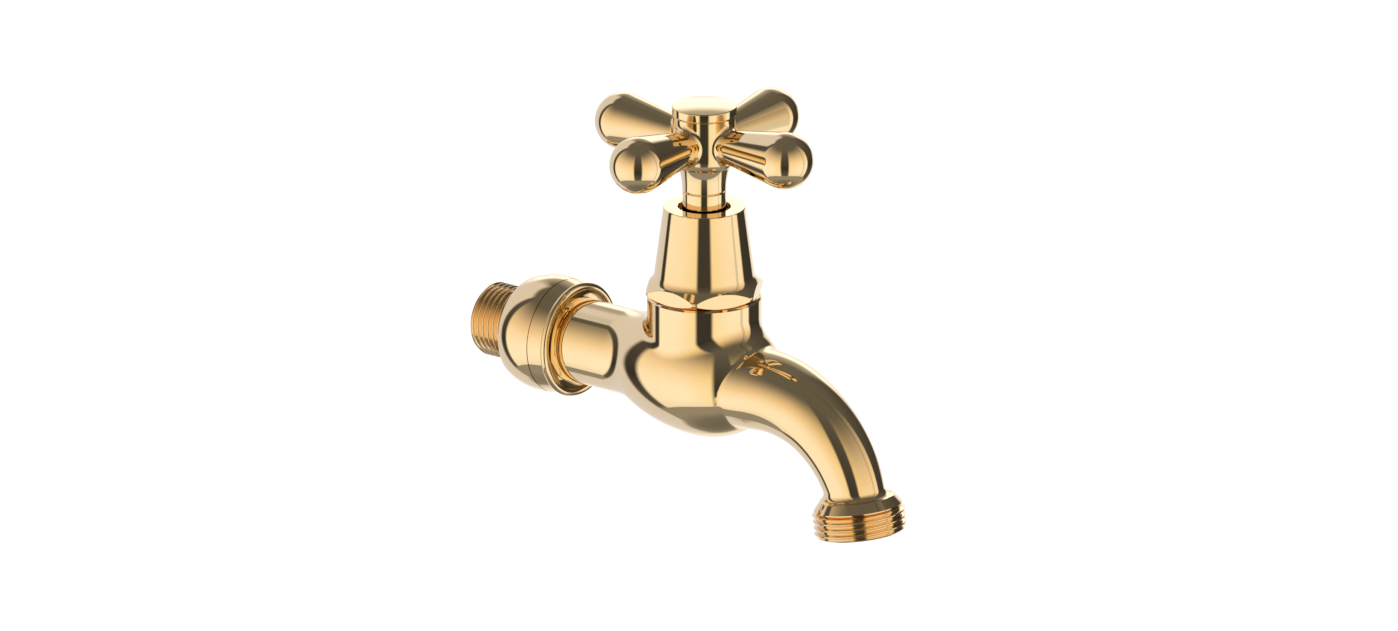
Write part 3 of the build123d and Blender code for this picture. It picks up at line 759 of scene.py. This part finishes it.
cap_radius, cap_rim, cap_gap, cap_dome, cap_seat, plug = 9.24, 2.3, 0.4, 0.6, 8.3, 6.8
plug_wall, plug_depth, cap_edge = 1.3, 4.2, 0.35
cap_foot = hub_top + cap_gap
rim_top = cap_foot + cap_rim
ball = (cap_radius ** 2 + cap_dome ** 2) / (2 * cap_dome)
dome_centre = rim_top + cap_dome - ball
# The rounded edge touches the rim and the dome from inside.
edge_r = cap_radius - cap_edge
edge_z = dome_centre + sqrt((ball - cap_edge) ** 2 - edge_r ** 2)
edge_end = degrees(atan2(edge_z - dome_centre, edge_r))
dome_start = atan2(edge_r, edge_z - dome_centre)
dome = [(ball * sin(t), dome_centre + ball * cos(t)) for t in np.linspace(dome_start, 0, 28)]
cap = lathe(
    [(0, cap_foot), (plug - plug_wall, cap_foot), (plug - plug_wall, hub_top - plug_depth),
     (plug, hub_top - plug_depth), (plug, hub_top), (cap_seat, hub_top), (cap_seat, cap_foot),
     (cap_radius - 0.12, cap_foot), (cap_radius, cap_foot + 0.12)]
    + arc((edge_r, edge_z), cap_edge, 0, edge_end, 10) + dome[1:], valve_axis)

span = arm_reach - hub_radius
gap = span ** 2 - ball_radius ** 2
rise = (sqrt((arm_root * span) ** 2 - gap * (arm_root ** 2 - ball_radius ** 2)) - arm_root * span) / gap
lean = atan(rise)
touch = (arm_reach - ball_radius * sin(lean), ball_radius * cos(lean))
under_bow = ((hub_radius - hub_foot_radius) ** 2 + hub_undercut ** 2) / (2 * (hub_radius - hub_foot_radius))


def arms(p):
    # The four arms are one arm, folded about the diagonals.
    x, y = np.abs(p[:, 0]), np.abs(p[:, 1] + reach)
    along, side = np.maximum(x, y), np.minimum(x, y)
    away = np.hypot(side, p[:, 2] - arm_height)
    past = (along - touch[0]) * cos(lean) + (away - touch[1]) * sin(lean)
    cone = (away - touch[1]) * cos(lean) - (along - touch[0]) * sin(lean)
    return np.where(past > 0, np.hypot(along - arm_reach, away) - ball_radius, cone)


def hub(p):
    away, height = np.hypot(p[:, 0], p[:, 1] + reach), p[:, 2]
    start = hub_foot + hub_undercut
    under = np.hypot(away - (hub_radius - under_bow), height - start) - under_bow
    return np.where(height < start, under, away - hub_radius)


cross = blended(with_gradient(hub), with_gradient(arms), arm_blend)
low_cut, high_cut = hub_foot + 0.5, hub_top - 0.7
cross_side = mesh_of(
    cross, (-38.5, -reach - 38.5, 59.5), (38.5, -reach + 38.5, 77.5), 0.55,
    [((0, 0, low_cut), (0, 0, -1)), ((0, 0, high_cut), (0, 0, 1))],
    lambda p: (np.hypot(p[:, 0], p[:, 1] + reach) > 12) | ((p[:, 2] > low_cut) & (p[:, 2] < high_cut)))


drive_half, recess = 2.9, 6.9


def square(a):
    turned = a - pi / 4
    return drive_half / max(abs(cos(turned)), abs(sin(turned)))


drop = hub_foot + hub_undercut
under_end = degrees(atan2(low_cut - drop, sqrt(under_bow ** 2 - (low_cut - drop) ** 2)))
under_start = degrees(atan2(hub_foot - drop, hub_foot_radius - (hub_radius - under_bow)))
hub_rims = lathe(
    [(hub_radius, high_cut), (hub_radius, hub_top - 0.12), (hub_radius - 0.12, hub_top), (recess, hub_top),
     (recess, hub_floor), (square, hub_floor), (square, hub_foot)]
    + arc((hub_radius - under_bow, drop), under_bow, under_start, under_end, 4), valve_axis)
piece("stem_sleeve_cover", [sleeve], "handle", ["stem_sleeve"], gold)
piece("handle_skirt_cover", [skirt], "handle", ["handle_skirt"], gold)
piece("handle_cap_cover", [cap], "handle", ["handle_cap"], gold)
piece("cross", [cross_side, hub_rims], "handle", ["cross_handle"], gold)

# Camera, at the photograph's viewing angle

azimuth, elevation = radians(-50.63), radians(17.75)
right = Vector((cos(azimuth), sin(azimuth), 0))
toward = Vector((sin(azimuth), -cos(azimuth), 0))
back = toward * cos(elevation) + Vector((0, 0, sin(elevation)))
up = back.cross(right)
look_at = Vector((0, -reach, 0)) - right * 1.50 + up * 15.641
lens = bpy.data.cameras.new("photo_camera")
lens.type = "ORTHO"
lens.ortho_scale = 0.39685
lens.clip_start, lens.clip_end = 0.01, 20
camera = bpy.data.objects.new("photo_camera", lens)
bpy.context.scene.collection.objects.link(camera)
camera.location = (look_at * MM) + back * 2.0
camera.rotation_mode = "QUATERNION"
camera.rotation_quaternion = back.to_track_quat("Z", "Y")
bpy.context.scene.camera = camera

# Studio

world = bpy.data.worlds.new("studio")
bpy.context.scene.world = world
world.use_nodes = True
n = Nodes(world.node_tree)
way = n.add("ShaderNodeTexCoord").outputs["Generated"]


def dot(vector):
    return n.add("ShaderNodeVectorMath", {0: way, 1: tuple(vector)}, operation="DOT_PRODUCT").outputs["Value"]


# A softbox stands on each side of the photograph's camera. The angle runs round from the camera,
# positive to its right, and the height is the angle above the horizon, both in degrees.
round_angle = n.math("DEGREES", n.math("ARCTAN2", dot(right), dot(toward)))
height = n.math("DEGREES", n.math("ARCSINE", dot((0, 0, 1))))


def between(value, low, high, soft=3.0):
    """1 between two angles and 0 outside them, with soft edges."""
    return n.math("MULTIPLY", n.ramp(value, low - soft, low + soft), n.ramp(value, high + soft, high - soft))


def stepped(value, stops):
    """A colour that runs through (angle, colour) stops."""
    colour = (*stops[0][1], 1)
    for (first, _), (second, shade) in zip(stops, stops[1:]):
        colour = n.blend(n.ramp(value, first, second, smooth=False), colour, (*shade, 1))
    return colour


room = stepped(height, [
    (-90, (0.17, 0.17, 0.17)), (-72, (0.20, 0.20, 0.20)), (-58, (0.33, 0.33, 0.33)),
    (-47, (0.33, 0.33, 0.33)), (-44, (0.12, 0.12, 0.12)), (-15, (0.04, 0.04, 0.04)),
    (0, (0.06, 0.06, 0.06)), (30, (0.09, 0.09, 0.09)), (60, (0.135, 0.135, 0.135))])


def softbox(low, peach):
    """A softbox's light by height: white and bright low down, then peach, and dim at its top."""
    foot = n.blend(n.ramp(height, -46, -32), (1.0, 1.0, 1.0, 1), (*low, 1))
    tinted = n.blend(n.ramp(height, -20, 18), foot, (*peach, 1))
    return n.blend(n.ramp(height, 2, 62), tinted, (0.14, 0.14, 0.13, 1))


box_height = n.ramp(height, -46.5, -44.5)
inner_left = n.ramp(round_angle, -60, -22)
inner_right = n.ramp(round_angle, 60, 18)
outer = softbox((1.15, 1.15, 1.15), (1.05, 0.9, 0.7))
inner = softbox((1.1, 1.05, 0.85), (1.05, 0.88, 0.58))  # The inner edge is warmer.
left_box = n.blend(inner_left, outer, inner)
right_box = n.blend(inner_right, outer, inner)
left_share = n.math("MULTIPLY", n.ramp(round_angle, -106, -100), n.ramp(round_angle, -13, -21))
right_share = n.math("MULTIPLY", n.ramp(round_angle, 12, 20), n.ramp(round_angle, 104, 98))
scene_light = n.blend(n.math("MULTIPLY", left_share, box_height), room, left_box)
scene_light = n.blend(n.math("MULTIPLY", right_share, box_height), scene_light, right_box)
# A strip stands at the right softbox's outer edge, behind a thin dimmer line.
line = n.math("MULTIPLY", between(round_angle, 78, 84, 1.5), n.math("MULTIPLY", box_height, 0.3))
scene_light = n.blend(line, scene_light, (0.0, 0.0, 0.0, 1))
# White light stands behind the tap, and low down it reaches a little further to the right.
rear = n.math("MAXIMUM", n.ramp(round_angle, 148, 160), n.ramp(round_angle, -150, -158))
right_edge = n.math("MULTIPLY", n.ramp(round_angle, 141, 148), n.ramp(height, -2, -12))
behind = n.math("MULTIPLY", n.math("MAXIMUM", rear, right_edge), n.ramp(height, -62, -50))
backdrop = stepped(height, [
    (-45, (1.0, 1.0, 1.0)), (4, (1.0, 1.0, 1.0)), (11, (1.55, 1.55, 1.6)), (21, (1.55, 1.55, 1.6)),
    (28, (0.5, 0.5, 0.5)), (50, (0.15, 0.15, 0.15))])
scene_light = n.blend(behind, scene_light, backdrop)
# A pale cool light stands behind the tap on the left, parted from the left softbox by a dark gap.
pale_side = n.math("MULTIPLY", n.ramp(round_angle, -176, -160), n.ramp(round_angle, -114, -120))
pale_height = n.math("MULTIPLY", n.ramp(height, -64, -56), n.ramp(height, 60, 50))
beside = n.math("MULTIPLY", pale_side, pale_height)
scene_light = n.blend(beside, scene_light, (0.78, 0.80, 0.90, 1))
camera_ray = n.add("ShaderNodeLightPath").outputs["Is Camera Ray"]
shown = n.blend(camera_ray, scene_light, (1.0, 1.0, 1.0, 1))
light = n.add("ShaderNodeBackground", {"Color": shown, "Strength": 1.0})
n.add("ShaderNodeOutputWorld", {"Surface": light.outputs[0]})


def board(name, corners, material):
    mesh = bpy.data.meshes.new(name)
    mesh.from_pydata(corners, [], [(0, 1, 2, 3)])
    mesh.materials.append(material)
    made = bpy.data.objects.new(name, mesh)
    bpy.context.scene.collection.objects.link(made)
    return made


def one_sided(name, surface_of):
    """A material that only shows on a face's front."""
    material = bpy.data.materials.new(name)
    material.use_nodes = True
    m = Nodes(material.node_tree)
    facing = m.add("ShaderNodeNewGeometry").outputs["Backfacing"]
    clear = m.add("ShaderNodeBsdfTransparent").outputs[0]
    mixed = m.add("ShaderNodeMixShader", {0: facing, 1: surface_of(m), 2: clear})
    m.add("ShaderNodeOutputMaterial", {"Surface": mixed.outputs[0]})
    return material


def floor_surface(m):
    pale = m.add("ShaderNodeBsdfDiffuse", {"Color": (0.8, 0.8, 0.8, 1)}).outputs[0]
    glow = m.add("ShaderNodeEmission", {"Color": (0.8, 0.8, 0.8, 1), "Strength": m.math(
        "MULTIPLY", m.add("ShaderNodeLightPath").outputs["Is Camera Ray"], 1.0)}).outputs[0]
    return m.add("ShaderNodeAddShader", {0: pale, 1: glow}).outputs[0]


floor = board("floor", [(-3, -3, -0.15), (3, -3, -0.15), (3, 3, -0.15), (-3, 3, -0.15)],
              one_sided("pale_floor", floor_surface))
floor.visible_glossy = False

bpy.context.scene.view_settings.view_transform = "Standard"
